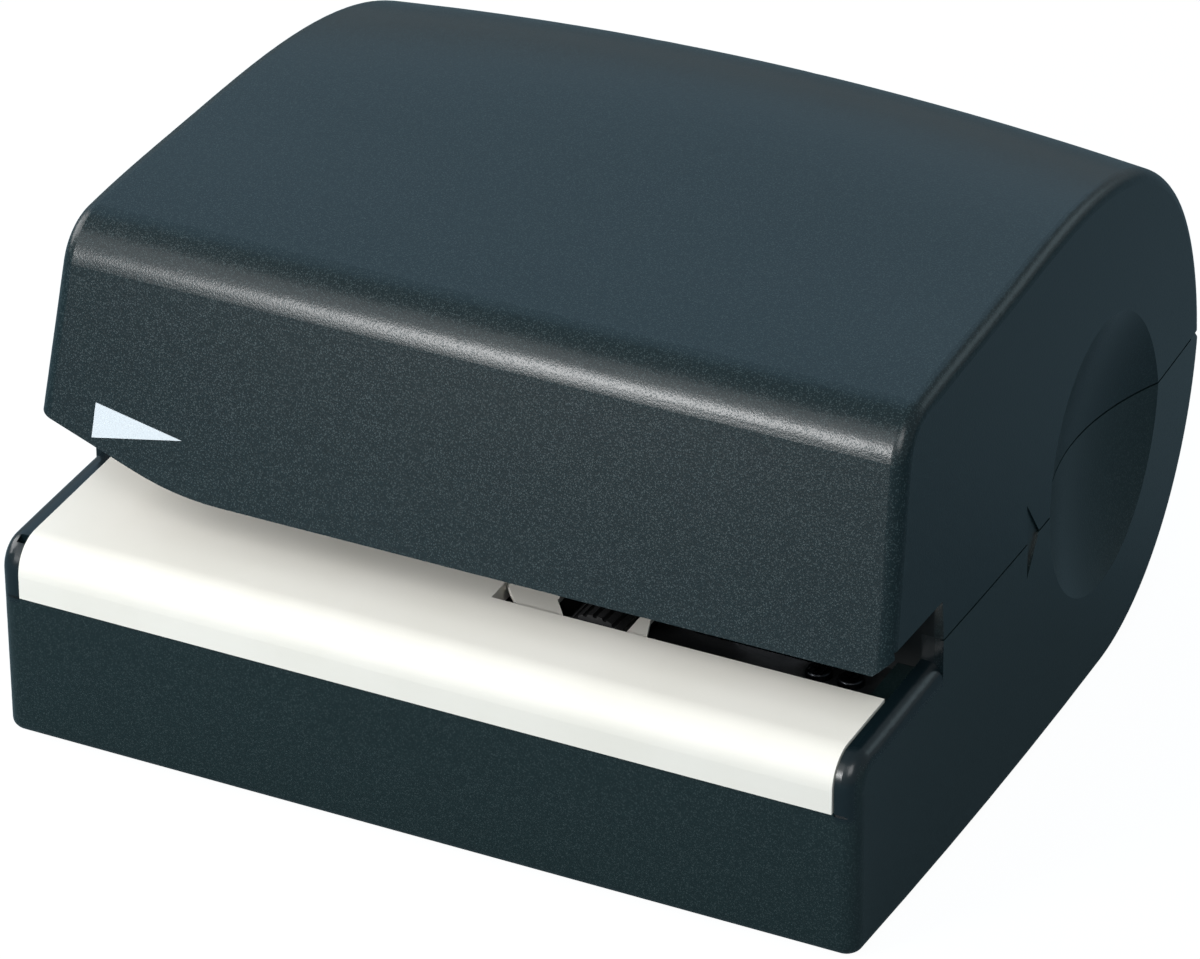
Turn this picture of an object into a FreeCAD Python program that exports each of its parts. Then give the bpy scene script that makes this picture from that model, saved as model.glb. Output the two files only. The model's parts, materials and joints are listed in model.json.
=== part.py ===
import FreeCAD, Part
import math
import os

os.makedirs("parts", exist_ok=True)

# Electric letter opener, millimetres.
# x runs to the right, y from the front lip to the back, z up from the underside of the case.

# ---- overall body ----
half_width = 80.0
beyond = half_width + 10.0
bow_radius = 1845.0
widest_y = 8.2
foot_height = 1.2
wall = 2.4
seam_z = 43.5
drum_y = 104.2
drum_radius = 46.8
drum_z = drum_radius
bottom_round = 2.0
corner_round = 3.0
front_draft = 0.014
seam_groove = 0.35

# ---- mouth and deck ----
mouth_back_y = 32.5
rail_width = 4.3
rail_drop = 0.35
deck_half_width = half_width - rail_width
deck_fit = 0.2
ledge_width = 4.0
deck_thickness = 2.2
deck_round = 6.2
deck_slope = 0.06
lip_y = -0.5
lip_bottom_z = 27.2
deck_back_z = 39.2

# ---- cover ----
cover_lip_y = 11.65
cover_lip_z = 46.8
cover_lean = 0.246
cover_taper = 0.052
cover_corner_z = 87.7
cover_round = 10.0
side_lip_z = 50.5
edge_round = 2.6
lead_start = half_width - 36.5
lead_radius = 56.0
lead_angle = math.radians(17.2)

# ---- finger dishes and hinge ----
dish_y = 105.6
dish_rim = 26.0
dish_depth = 5.9
hinge_y = drum_y + math.sqrt(drum_radius ** 2 - (drum_z - seam_z) ** 2) - wall / 2
pin_radius = 1.2
knuckle_radius = 2.8
knuckle_gap = 0.3
running_gap = 0.05

# ---- gear train ----
module = 0.8
tooth_height = 0.8
blade_teeth = 29
drive_teeth = 14
feed_teeth = 31
second_teeth = 36
small_teeth = 12
first_teeth = 30
plane_a = 38.2
plane_b = 43.2
plane_c = 47.7
gear_width = 3.6
front_plate_y = 36.0
plate_thickness = 1.5
rear_plate_y = 53.0
shaft_radius = 1.5

# ---- rollers and blades ----
tyre_radius = 7.0
tyre_top_z = 39.5
idler_radius = 5.5
idler_gap = 0.35
idler_z = tyre_top_z + idler_gap + idler_radius
disc_radius = 12.0
disc_overlap = 0.8
lower_x = half_width - 30.0
lower_z = 27.5
upper_z = lower_z + 2 * disc_radius - disc_overlap
lower_disc_y = 29.5
disc_thickness = 1.5
feed_x = lower_x - 27.2
feed_z = tyre_top_z - tyre_radius
arm_x = lower_x - 13.5
arm_z = 56.5

# ---- notch in the deck over the feed roller and the blades ----
notch_y = 19.0
notch_left_x = feed_x - 18.9
shelf_drop = 0.5
shelf_thickness = 1.0
shelf_line = 0.35
window_left_x = feed_x - 8.9
window_right_x = feed_x + 5.8
shelf_right_x = feed_x + 7.7

V = FreeCAD.Vector
X_AXIS = V(1, 0, 0)
Y_AXIS = V(0, 1, 0)
Z_AXIS = V(0, 0, 1)
middle_y = (lip_y + hinge_y + knuckle_radius) / 2


def box(x0, x1, y0, y1, z0, z1):
    return Part.makeBox(x1 - x0, y1 - y0, z1 - z0, V(x0, y0, z0))


def rod_y(x, z, radius, y0, y1):
    return Part.makeCylinder(radius, y1 - y0, V(x, y0, z), Y_AXIS)


def rod_x(y, z, radius, x0, x1):
    return Part.makeCylinder(radius, x1 - x0, V(x0, y, z), X_AXIS)


def rod_z(x, y, radius, z0, z1):
    return Part.makeCylinder(radius, z1 - z0, V(x, y, z0), Z_AXIS)


def prism_x(points, x0, x1):
    corners = [V(x0, y, z) for y, z in points]
    return Part.Face(Part.makePolygon(corners + corners[:1])).extrude(V(x1 - x0, 0, 0))


def prism_y(points, y0, y1):
    corners = [V(x, y0, z) for x, z in points]
    return Part.Face(Part.makePolygon(corners + corners[:1])).extrude(V(0, y1 - y0, 0))


def prism_z(points, z0, z1):
    corners = [V(x, y, z0) for x, y in points]
    return Part.Face(Part.makePolygon(corners + corners[:1])).extrude(V(0, 0, z1 - z0))


def mirrored(shape):
    return shape.mirror(V(0, 0, 0), X_AXIS)


def both_sides(shape):
    return [shape, mirrored(shape)]


def keep(name, shapes):
    parts = shapes if isinstance(shapes, list) else [shapes]
    solids = [s for part in parts for s in part.Solids]
    whole = solids[0] if len(solids) == 1 else Part.makeCompound(solids)
    whole = whole.copy()
    whole.translate(V(0, -middle_y, foot_height))
    whole.exportStep("parts/" + name + ".step")


# ---------------------------------------------------------------- case surfaces

def side_y(y):
    """Half width of the bowed side wall at depth y, below the seam."""
    return half_width - bow_radius + math.sqrt(bow_radius ** 2 - (y - widest_y) ** 2)


def plan_wire(inset, z):
    """Plan outline of the two bowed side walls, open far beyond front and back."""
    y0, y1, ym = -10.0, 165.0, 60.0
    right = [V(side_y(y) - inset, y, z) for y in (y0, ym, y1)]
    left = [V(-p.x, p.y, z) for p in reversed(right)]
    edges = [Part.Arc(*right).toShape(), Part.makeLine(right[2], left[0])]
    edges += [Part.Arc(*left).toShape(), Part.makeLine(left[2], right[0])]
    return Part.Wire(edges)


def upright_sides(inset):
    return Part.Face(plan_wire(inset, -10)).extrude(V(0, 0, 130))


def tapered_sides(inset):
    top = 110.0
    low = 20.0
    wires = []
    for z in (low, top):
        wires.append(plan_wire(inset + cover_taper * (z - seam_z), z))
    return Part.makeLoft(wires, True, True)


def case_profile(inset, top_z):
    """Block inside the lower case, moved in by inset and open at the top."""
    radius = drum_radius - inset
    back = drum_y + math.sqrt(radius ** 2 - (drum_z - top_z) ** 2)
    low = math.radians(-45)
    mid = V(-beyond, drum_y + radius * math.cos(low), drum_z + radius * math.sin(low))
    front_low = V(-beyond, inset + front_draft * 20, inset)
    front_top = V(-beyond, inset - front_draft * (top_z - 20), top_z)
    foot = V(-beyond, drum_y, inset)
    rear = V(-beyond, back, top_z)
    edges = [Part.makeLine(front_top, front_low), Part.makeLine(front_low, foot)]
    edges += [Part.Arc(foot, mid, rear).toShape(), Part.makeLine(rear, front_top)]
    return Part.Face(Part.Wire(edges)).extrude(V(2 * beyond, 0, 0))


def deck_z(y):
    return deck_back_z - deck_slope * (mouth_back_y - y)


def deck_bulk(drop, reach, low_z, back_y):
    """Everything under the deck's top line, with that line moved inwards by drop."""
    turn = math.atan(deck_slope)
    radius = deck_round - drop
    centre_y = lip_y + deck_round
    centre_z = deck_z(centre_y) - deck_round / math.cos(turn)
    face_y = centre_y - radius
    half = (math.pi + math.pi / 2 + turn) / 2
    start = V(-reach, face_y, centre_z)
    mid = V(-reach, centre_y + radius * math.cos(half), centre_z + radius * math.sin(half))
    end = V(-reach, centre_y - radius * math.sin(turn), centre_z + radius * math.cos(turn))
    back = V(-reach, back_y, deck_z(back_y) - drop / math.cos(turn))
    low_back = V(-reach, back_y, low_z)
    low_front = V(-reach, face_y, low_z)
    edges = [Part.makeLine(low_front, start), Part.Arc(start, mid, end).toShape()]
    edges += [Part.makeLine(end, back), Part.makeLine(back, low_back), Part.makeLine(low_back, low_front)]
    return Part.Face(Part.Wire(edges)).extrude(V(2 * reach, 0, 0))


def rail_nose():
    """Start, crest and end of the rails' rounded nose and the back end of their top line."""
    turn = math.atan(deck_slope)
    radius = deck_round - rail_drop
    tilt = math.atan(front_draft)
    front_in = V(0, math.cos(tilt), math.sin(tilt))
    top_in = V(0, math.sin(turn), -math.cos(turn))
    front_at = V(0, 0, 20)
    top_at = V(0, mouth_back_y, deck_back_z - rail_drop)
    need_front = radius + front_at.dot(front_in)
    need_top = radius + top_at.dot(top_in)
    spread = front_in.y * top_in.z - front_in.z * top_in.y
    centre_y = (need_front * top_in.z - need_top * front_in.z) / spread
    centre_z = (front_in.y * need_top - top_in.y * need_front) / spread
    centre = V(-beyond, centre_y, centre_z)
    half = (front_in + top_in) * -1.0
    crest = centre + half * (radius / half.Length)
    back = V(-beyond, mouth_back_y, top_at.z)
    return centre - front_in * radius, crest, centre - top_in * radius, back


def case_outline():
    """Full width block of the lower case: front, nose, rail top, mouth's back wall, seam and drum."""
    start, crest, end, back = rail_nose()
    low = math.radians(-45)
    rear_y = drum_y + math.sqrt(drum_radius ** 2 - (drum_z - seam_z) ** 2)
    front_low = V(-beyond, front_draft * 20, 0)
    wall_top = V(-beyond, mouth_back_y, seam_z)
    rear = V(-beyond, rear_y, seam_z)
    mid = V(-beyond, drum_y + drum_radius * math.cos(low), drum_z + drum_radius * math.sin(low))
    foot = V(-beyond, drum_y, 0)
    edges = [Part.makeLine(front_low, start), Part.Arc(start, crest, end).toShape(), Part.makeLine(end, back)]
    edges += [Part.makeLine(back, wall_top), Part.makeLine(wall_top, rear)]
    edges += [Part.Arc(rear, mid, foot).toShape(), Part.makeLine(foot, front_low)]
    return Part.Face(Part.Wire(edges)).extrude(V(2 * beyond, 0, 0))


def cover_points(x):
    """Top line of the cover at x: crowned towards the back, straight along the front."""
    bow = (x / (half_width - 5.0)) ** 2
    mid_60, edge_60 = 47.9, 43.9
    mid_30, edge_30 = 47.5, 46.1
    r60 = mid_60 + (edge_60 - mid_60) * bow
    r30 = mid_30 + (edge_30 - mid_30) * bow
    rise = math.radians(7.0)
    lean = math.atan(cover_lean)
    corner = V(x, cover_lip_y + cover_lean * (cover_corner_z - cover_lip_z), cover_corner_z)
    reach = cover_round * math.tan((math.pi / 2 - lean - rise) / 2)
    up = V(0, math.sin(lean), math.cos(lean))
    along = V(0, math.cos(rise), math.sin(rise))
    start = corner - up * reach
    end = corner + along * reach
    centre = start + V(0, math.cos(lean), -math.sin(lean)) * cover_round
    half = (start + end) * 0.5 - centre
    crest = centre + half * (cover_round / half.Length)
    points = [end, V(x, 61, 91.7 - 0.8 * bow), V(x, 92, 94.1 - 2.0 * bow)]
    for radius, angle in ((r60, 60), (r30, 30)):
        turn = math.radians(angle)
        points.append(V(x, drum_y + radius * math.cos(turn), drum_z + radius * math.sin(turn)))
    points.append(V(x, hinge_y + wall / 2, seam_z))
    return start, crest, points, along


def cover_wire(x, inset, low_z):
    """Closed side profile of the cover at x, moved inwards by inset."""
    start, crest, points, along = cover_points(x)
    lean = math.atan(cover_lean)
    down = math.asin((seam_z - drum_z) / drum_radius)
    ending = V(0, math.sin(down), -math.cos(down))
    curve = Part.BSplineCurve()
    curve.interpolate(Points=points, InitialTangent=along * 30, FinalTangent=ending * 30)
    if inset > 0:
        moved = []
        for p in points:
            run = curve.tangent(curve.parameter(p))[0]
            moved.append(p + V(0, run.z, -run.y) * inset)
        inward = V(0, math.cos(lean), -math.sin(lean)) * inset
        centre = start + inward * (cover_round / inset)
        crest = crest + (centre - crest) * (inset / cover_round)
        start = start + inward
        points = moved
        curve = Part.BSplineCurve()
        curve.interpolate(Points=points, InitialTangent=along * 30, FinalTangent=ending * 30)
    back = points[-1]
    low_back = V(x, back.y, low_z)
    low_front = V(x, start.y - cover_lean * (start.z - low_z), low_z)
    edges = [Part.makeLine(low_front, start), Part.Arc(start, crest, points[0]).toShape()]
    edges.append(curve.toShape())
    if back.z - low_z > 0.01:
        edges.append(Part.makeLine(back, low_back))
    edges.append(Part.makeLine(low_back, low_front))
    return Part.Wire(edges)


def cover_block(inset, low_z):
    reach = half_width + 4.0
    return Part.makeLoft([cover_wire(reach * n / 3, inset, low_z) for n in range(-3, 4)], True, False)


def dish_ball(extra):
    """Ball whose cap is the finger dish in the right side wall."""
    radius = (dish_rim ** 2 + dish_depth ** 2) / (2 * dish_depth)
    centre = V(side_y(dish_y) - dish_depth + radius, dish_y, seam_z)
    return Part.makeSphere(radius + extra, centre)


def side_mark():
    """Shallow triangle cut in the right wall, across the seam and pointing back."""
    points = [(67.4, seam_z - 7), (67.4, seam_z + 7), (72.2, seam_z)]
    return prism_x(points, side_y(70) - 0.5, half_width + 5)


# ---------------------------------------------------------------- lower case

def battery_space():
    left = 14.0 - half_width
    return [left, left + 2 * cell_gap + can_length + nub_length, 8.0, 69.0]


def tray_space():
    return [lower_x - 20.0, lower_x + 16.0, 6.0, 34.9]


def guard_bar(extra):
    """Bar on the right ledge that the blade guard is screwed down to."""
    start = deck_half_width - 17.2
    end = deck_half_width - ledge_width
    return box(start - extra, end + extra, 22.6 - extra, 27.8 + extra, 30.5, guard_top_z - guard_thickness)


def seam_line():
    """Shallow step in the case's top edge that shows as the dark line of the seam."""
    inner = upright_sides(0.5)
    for ball in both_sides(dish_ball(0.5)):
        inner = inner.cut(ball)
    return box(-beyond, beyond, mouth_back_y, hinge_y - 4, seam_z - seam_groove, seam_z + 1).cut(inner)


def lower_case():
    outer = case_outline().common(upright_sides(0))
    rounds = [e for e in outer.Edges if e.BoundBox.ZLength > 20 and e.BoundBox.YMax < 5]
    outer = outer.makeFillet(corner_round, rounds)
    low = []
    for edge in outer.Edges:
        b = edge.BoundBox
        floor_rim = b.ZMax < 0.01 and b.YMin < 100
        drum_rim = b.YMin > 100 and b.XLength < 30 and b.ZMin < 5 and b.YLength > 10
        if floor_rim or drum_rim:
            low.append(edge)
    outer = outer.makeFillet(bottom_round, low)
    hollow = case_profile(wall, 80).common(upright_sides(wall))
    hollow = hollow.common(box(-beyond, beyond, wall, 160, wall, 80))
    for ball in both_sides(dish_ball(wall)):
        hollow = hollow.cut(ball)
    shell = outer.cut(hollow)

    # thick rails beside the deck, the nose wall behind the lip and the fence behind the mouth
    rail_in = deck_half_width + deck_fit
    inner_x = half_width - 2.0
    block = outer.common(box(rail_in, beyond, 1, mouth_back_y + 2, 27, deck_back_z))
    nose = outer.common(box(-inner_x, inner_x, 1, 4.4, 16, 33.5))
    fence = box(-inner_x, inner_x, mouth_back_y, mouth_back_y + 2, 33, seam_z)
    fence = fence.common(upright_sides(1.0))
    extra = both_sides(block) + [nose, fence]
    extra.append(box(lever_x - 6.5, lever_x + 2.5, mouth_back_y, mouth_back_y + 2, 27.5, 34))
    ledge = box(deck_half_width - ledge_width, side_y(20) - 1, 4, mouth_back_y + 1, 30.5, deck_back_z)
    extra += both_sides(ledge.common(outer)) + [guard_bar(0)]

    # battery box, switch post, waste bay guides, ribs and screw bosses
    bx0, bx1, by0, by1 = battery_space()
    extra.append(box(bx0 - 3, bx1 + 3, by0 - 3, by1 + 3, 1, 3.6))
    extra.append(box(bx0 - 1.6, bx1 + 1.6, by0 - 1.6, by1 + 1.6, 1, 20.6))
    extra.append(box(switch_x + 8.4, switch_x + 12.4, 25.5, 30.3, 1, switch_z))
    tx0, tx1, ty0, ty1 = tray_space()
    extra.append(box(tx0 - 1.6, tx0, ty0 - 1.6, ty1 - 2, 1, 14))
    extra.append(box(tx1, tx1 + 1.6, ty0 - 1.6, ty1 - 2, 1, 14))
    extra.append(box(tx0 - 1.6, tx1 + 1.6, ty0 - 1.6, ty0, 1, 14))
    for x, y in boss_places():
        extra.append(rod_z(x, y, 3.4, 1, boss_top))
    for y in (84, 100, 116):
        rib = box(30, half_width, y, y + 1.4, 1, 9).common(case_profile(1, 80)).common(upright_sides(1))
        extra += both_sides(rib)
    case = shell.multiFuse(extra)

    # openings: deck recess, battery and waste openings, screw holes, feet, hinge groove
    recess = box(-rail_in, rail_in, -10, mouth_back_y, lip_bottom_z - 0.1, 60)
    cuts = [recess.cut(deck_bulk(deck_thickness, beyond, 0, mouth_back_y + 1))]
    cuts.append(box(bx0 - 1.2, bx1 + 1.2, by0 - 1.2, by1 + 1.2, -1, 2.1))
    cuts.append(box(bx0, bx1, by0, by1, -1, 19))
    cuts.append(box(bx1, bx1 + 2, 34, 44, -1, 1.2))
    tray_hole = box(tx0, tx1, ty0, ty1, -1, 10)
    cuts.append(tray_hole.makeFillet(tray_round, [e for e in tray_hole.Edges if e.BoundBox.ZLength > 10]))
    for x, y in boss_places():
        cuts.append(rod_z(x, y, screw_radius, 2.6, boss_top + 1))
    for x, y in guard_screw_places():
        cuts.append(rod_z(x, y, screw_radius, 31.2, 40))
    for x, y in foot_places():
        cuts.append(rod_z(x, y, foot_radius + 0.1, -1, 0.6))
    cuts.append(rod_y(lever_x, lever_z, pin_radius, 30, 40))
    cuts.append(rod_y(feed_x, feed_z, shaft_radius + 0.6, 30, 36))
    cuts.append(rod_x(hinge_y, seam_z, wall / 2 + 0.5, -beyond, beyond))
    for sign in (-1, 1):
        a, b = sorted((sign * (cover_knuckle[0] - knuckle_gap), sign * (cover_knuckle[1] + knuckle_gap)))
        cuts.append(rod_x(hinge_y, seam_z, knuckle_radius + knuckle_gap, a, b))
    cuts += both_sides(dish_ball(0)) + both_sides(side_mark()) + [seam_line()]
    line = box(rail_in, beyond, -5, 0.25, lip_bottom_z - 0.5, lip_bottom_z)
    cuts += both_sides(line)
    for cut in cuts:
        case = case.cut(cut)

    # hinge knuckles standing on the rear wall
    knuckles = []
    for sign in (-1, 1):
        a, b = sorted((sign * case_knuckle[0], sign * case_knuckle[1]))
        web = box(a, b, hinge_y - 1.2, hinge_y + 1.1, seam_z - 4.5, seam_z)
        knuckle = rod_x(hinge_y, seam_z, knuckle_radius, a, b).fuse(web)
        knuckles.append(knuckle)
    case = case.multiFuse(knuckles)
    return case.cut(rod_x(hinge_y, seam_z, pin_radius, -60, 60)).removeSplitter()


def deck_plate(drop, thick, low_z, back_y):
    """Bent plate whose top follows the deck line lowered by drop."""
    return deck_bulk(drop, deck_half_width, low_z, back_y).cut(deck_bulk(drop + thick, beyond, 0, back_y + 1))


def shelf_outline():
    """Plan of the low shelves left and right of the roller window."""
    back = mouth_back_y - 0.1
    left = [(notch_left_x - 1, notch_y + 5.4), (notch_left_x + 0.1, notch_y + 5.4)]
    left += [(notch_left_x + 4.6, notch_y + shelf_line), (window_left_x + 3.3, notch_y + shelf_line)]
    left += [(window_left_x, notch_y + 4.5), (window_left_x, back), (notch_left_x - 1, back)]
    outer_x = shelf_right_x + 2.1
    right = [(window_right_x, notch_y - 1), (outer_x, notch_y - 1), (outer_x, notch_y)]
    right += [(shelf_right_x, notch_y + 5.7), (shelf_right_x, back), (window_right_x, back)]
    return [left, right]


def feed_table():
    back = mouth_back_y - 0.1
    slab = deck_plate(0, deck_thickness, lip_bottom_z, back)
    slab = slab.cut(box(notch_left_x, beyond, notch_y, 60, 20, 60))
    shelf_plate = deck_plate(shelf_drop, shelf_thickness, lip_bottom_z, back)
    for outline in shelf_outline():
        slab = slab.fuse(shelf_plate.common(prism_z(outline, 30, 50)))
    slab = slab.cut(box(lever_x - 15.5, lever_x - 4.5, 26.2, 29.8, 20, 60))
    under = deck_bulk(0.5, deck_half_width, 20, back)
    extra = []
    for x in (-60, -40, -20):
        extra.append(box(x, x + 1.4, 6, back, 33.5, deck_back_z))
    extra.append(box(notch_left_x - 1.4, notch_left_x, notch_y - 2, back, 35.2, deck_back_z))
    extra.append(box(notch_left_x, deck_half_width - ledge_width, notch_y - 1.4, notch_y, 34.6, deck_back_z))
    for x in (16 - half_width, -4, half_width - 24):
        extra.append(box(x, x + 8, 4.5, 6.2, 30.6, deck_back_z))
    return slab.multiFuse([piece.common(under) for piece in extra])


# ---------------------------------------------------------------- cover

def top_cover():
    outer = cover_block(0, seam_z).common(tapered_sides(0))
    rims = []
    for edge in outer.Edges:
        b = edge.BoundBox
        long_enough = max(b.XLength, b.YLength, b.ZLength) > 6
        flank = abs(b.Center.x) > half_width * 0.75 and b.XLength < 30
        if flank and long_enough and b.ZMax > seam_z + 5:
            rims.append(edge)
    outer = outer.makeFillet(edge_round, rims)
    hollow = cover_block(wall, seam_z - 8).common(tapered_sides(wall))
    for ball in both_sides(dish_ball(wall)):
        hollow = hollow.cut(ball)
    shell = outer.cut(hollow)

    # cheeks closing the ends of the mouth, stiffening ribs and latch tongues
    extra = []
    inner_x = half_width - 1.0
    cheek = box(half_width - 13.5, inner_x, mouth_back_y, mouth_back_y + 2, seam_z, 62)
    extra += both_sides(cheek)
    for y in (66, 88, 110):
        arch = box(-inner_x, inner_x, y, y + 1.4, 74, 100)
        extra.append(arch)
    tongue = box(half_width - 7.4, inner_x, 40, 48, seam_z, 52)
    extra += both_sides(tongue)
    skin = cover_block(wall * 0.5, seam_z).common(tapered_sides(wall * 0.5))
    extra = [piece.common(skin) for piece in extra]
    roof = cover_block(7.5, seam_z - 8)
    extra = [piece.cut(roof) if piece.BoundBox.XLength > 100 else piece for piece in extra]
    cover = shell.multiFuse(extra)
    hook = box(half_width - 7.4, half_width - 5.6, 40, 48, seam_z - 4.5, seam_z + 1)
    cover = cover.multiFuse(both_sides(hook))

    # mouth: front wall to its lip, side walls a little higher, lead-in at the left
    lead = []
    for turn in (lead_angle, lead_angle / 2, 0.0):
        rise = lead_radius * (1 - math.cos(turn))
        lead.append(V(-lead_start - lead_radius * math.sin(turn), -5, cover_lip_z + rise))
    far = V(-beyond, -5, lead[0].z + (beyond + lead[0].x) * math.tan(lead_angle))
    ends = [V(beyond, -5, cover_lip_z), V(beyond, -5, 20), V(-beyond, -5, 20)]
    edges = [Part.makeLine(far, lead[0]), Part.Arc(*lead).toShape(), Part.makeLine(lead[2], ends[0])]
    edges += [Part.makeLine(ends[0], ends[1]), Part.makeLine(ends[1], ends[2]), Part.makeLine(ends[2], far)]
    mouth = Part.Face(Part.Wire(edges)).extrude(V(0, mouth_back_y + 5, 0))
    cuts = [mouth, box(-beyond, beyond, 14.2, mouth_back_y, 20, side_lip_z)]
    low_z = side_lip_z - 0.7
    corner = [(half_width - 3.2, cover_lip_z), (half_width + 0.2, low_z), (beyond, low_z)]
    corner += [(beyond, 20), (half_width - 3.2, 20)]
    cuts += both_sides(prism_y(corner, -5, mouth_back_y))
    cuts += both_sides(dish_ball(0)) + both_sides(side_mark())
    for sign in (-1, 1):
        a, b = sorted((sign * (case_knuckle[0] - knuckle_gap), sign * (case_knuckle[1] + knuckle_gap)))
        cuts.append(rod_x(hinge_y, seam_z, knuckle_radius + knuckle_gap, a, b))
    for cut in cuts:
        cover = cover.cut(cut)

    # hinge knuckles
    knuckles = []
    for sign in (-1, 1):
        a, b = sorted((sign * cover_knuckle[0], sign * cover_knuckle[1]))
        web = box(a, b, hinge_y - 1.1, hinge_y + 1.0, seam_z, seam_z + 4.5)
        knuckles.append(rod_x(hinge_y, seam_z, knuckle_radius, a, b).fuse(web))
    cover = cover.multiFuse(knuckles)
    return cover.cut(rod_x(hinge_y, seam_z, pin_radius + running_gap, -60, 60)).removeSplitter()


def direction_arrow():
    """Printed feed arrow on the front face of the cover."""
    lean = math.atan(cover_lean)
    face_y = lambda z: cover_lip_y + cover_lean * (z - cover_lip_z)
    corners = [(11.6, 59.2), (11.4, 53.2), (28.4, 56.4)]
    front = [V(x - half_width, face_y(z), z) for x, z in corners]
    ink = Part.Face(Part.makePolygon(front + front[:1]))
    return ink.extrude(V(0, -math.cos(lean), math.sin(lean)) * 0.12)


# ---------------------------------------------------------------- gears

def gear_outline(teeth, phase, y):
    """Involute teeth drawn as flat facets, thinned a little for backlash."""
    pitch = module * teeth / 2
    base = pitch * math.cos(math.radians(20))
    tip = pitch + module * tooth_height
    root = pitch - module * 1.0
    inv = lambda r: math.tan(math.acos(base / r)) - math.acos(base / r)
    half = math.pi / (2 * teeth) - 0.05 / pitch
    flank = []
    for r in (max(base, root), pitch, tip):
        flank.append((r, half + inv(pitch) - inv(r)))
    if root < base:
        flank.insert(0, (root, flank[0][1]))
    points = []
    for n in range(teeth):
        centre = phase + 2 * math.pi * n / teeth
        side = [(r, centre - a) for r, a in flank] + [(r, centre + a) for r, a in reversed(flank)]
        points += [V(r * math.cos(t), y, r * math.sin(t)) for r, t in side]
    return points


def gear(x, z, teeth, phase, y0, width):
    points = [p + V(x, 0, z) for p in gear_outline(teeth, phase, y0)]
    return Part.Face(Part.makePolygon(points + points[:1])).extrude(V(0, width, 0))


def gear_distance(a, b):
    return module * (a + b) / 2


def mesh_phase(from_xz, from_teeth, from_phase, to_xz, to_teeth):
    """Phase that puts a tooth gap of the second gear on a tooth of the first."""
    beta = math.atan2(to_xz[1] - from_xz[1], to_xz[0] - from_xz[0])
    share = (from_phase - beta) * from_teeth / (2 * math.pi)
    return beta + math.pi + (0.5 - share) * 2 * math.pi / to_teeth


def crossing(a, ra, b, rb):
    """Lower crossing of two circles: the axis that meshes with both gears."""
    dx, dz = b[0] - a[0], b[1] - a[1]
    d = math.hypot(dx, dz)
    along = (ra ** 2 - rb ** 2 + d ** 2) / (2 * d)
    high = math.sqrt(ra ** 2 - along ** 2)
    return (a[0] + along * dx / d + high * dz / d, a[1] + along * dz / d - high * dx / d)


feed_axis = (feed_x, feed_z)
lower_axis = (lower_x, lower_z)
upper_axis = (lower_x, upper_z)
second_axis = crossing(feed_axis, gear_distance(drive_teeth, feed_teeth),
                       lower_axis, gear_distance(drive_teeth, blade_teeth))
first_turn = math.radians(80)
first_reach = gear_distance(small_teeth, second_teeth)
first_axis = (second_axis[0] + first_reach * math.cos(first_turn),
              second_axis[1] + first_reach * math.sin(first_turn))
motor_turn = math.radians(140)
motor_reach = gear_distance(small_teeth, first_teeth)
motor_axis = (first_axis[0] + motor_reach * math.cos(motor_turn),
              first_axis[1] + motor_reach * math.sin(motor_turn))

drive_phase = 0.0
lower_phase = mesh_phase(second_axis, drive_teeth, drive_phase, lower_axis, blade_teeth)
upper_phase = mesh_phase(lower_axis, blade_teeth, lower_phase, upper_axis, blade_teeth)
feed_phase = mesh_phase(second_axis, drive_teeth, drive_phase, feed_axis, feed_teeth)
second_phase = 0.0
small_phase = mesh_phase(second_axis, second_teeth, second_phase, first_axis, small_teeth)
first_phase = 0.0
pinion_phase = mesh_phase(first_axis, first_teeth, first_phase, motor_axis, small_teeth)

rear_face_y = rear_plate_y + plate_thickness
lever_x = lower_x - 46.0
lever_z = 31.0
screw_radius = 1.1
boss_top = 6.0
switch_x = lever_x - 18.0
switch_z = 24.9
tray_round = 2.0
cell_gap = 4.4
cell_z = 10.4
can_length = 48.0
nub_length = 1.2
guard_top_z = 35.6
guard_thickness = 1.4
contact_thickness = 0.5
foot_radius = 4.2
case_knuckle = (46.0, 58.0)
cover_knuckle = (32.0, 45.7)


def boss_places():
    return [(x, y) for x in (lower_x - 38.0, lower_x + 14.0) for y in (44.0, 60.0)]


def foot_places():
    front_x, rear_x = half_width - 7.5, half_width - 14.0
    return [(-front_x, 12.0), (front_x, 12.0), (-rear_x, 118.0), (rear_x, 118.0)]


def chassis_plate(y, bearing_axes, tab_y):
    x0 = lower_x - 42.0
    plate = box(x0, x0 + 60.0, y, y + plate_thickness, boss_top, 64)
    plate = plate.cut(prism_y([(x0 - 1, 65), (x0 - 1, 56), (x0 + 4, 65)], y - 1, y + 3))
    plate = plate.cut(box(x0 + 12, x0 + 48, y - 1, y + 3, 0, boss_top + 3))
    for axis, radius in bearing_axes:
        plate = plate.cut(rod_y(axis[0], axis[1], radius, y - 1, y + 3))
    for x in (x0 + 4.0, x0 + 56.0):
        tab = box(x - 4, x + 4, y, tab_y + 4, boss_top, boss_top + plate_thickness)
        plate = plate.fuse(tab).cut(rod_z(x, tab_y, screw_radius + 0.3, 0, 12))
    return plate.removeSplitter()


def post_places():
    left, right = lower_x - 38.0, lower_x + 14.0
    return [(left, 54.0), (right, 60.0), (left, 16.0), (right, 16.0)]


def pan_head_z(x, y, z, length):
    """Pan head screw pointing down, with a cross recess."""
    head = rod_z(x, y, 2.3, z, z + 1.4)
    head = head.makeFillet(0.6, [e for e in head.Edges if e.BoundBox.ZMin > z + 1.3])
    cross = box(x - 1.3, x + 1.3, y - 0.3, y + 0.3, z + 0.7, z + 2)
    cross = cross.fuse(box(x - 0.3, x + 0.3, y - 1.3, y + 1.3, z + 0.7, z + 2))
    return head.fuse(rod_z(x, y, screw_radius, z - length, z)).cut(cross).removeSplitter()


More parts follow.
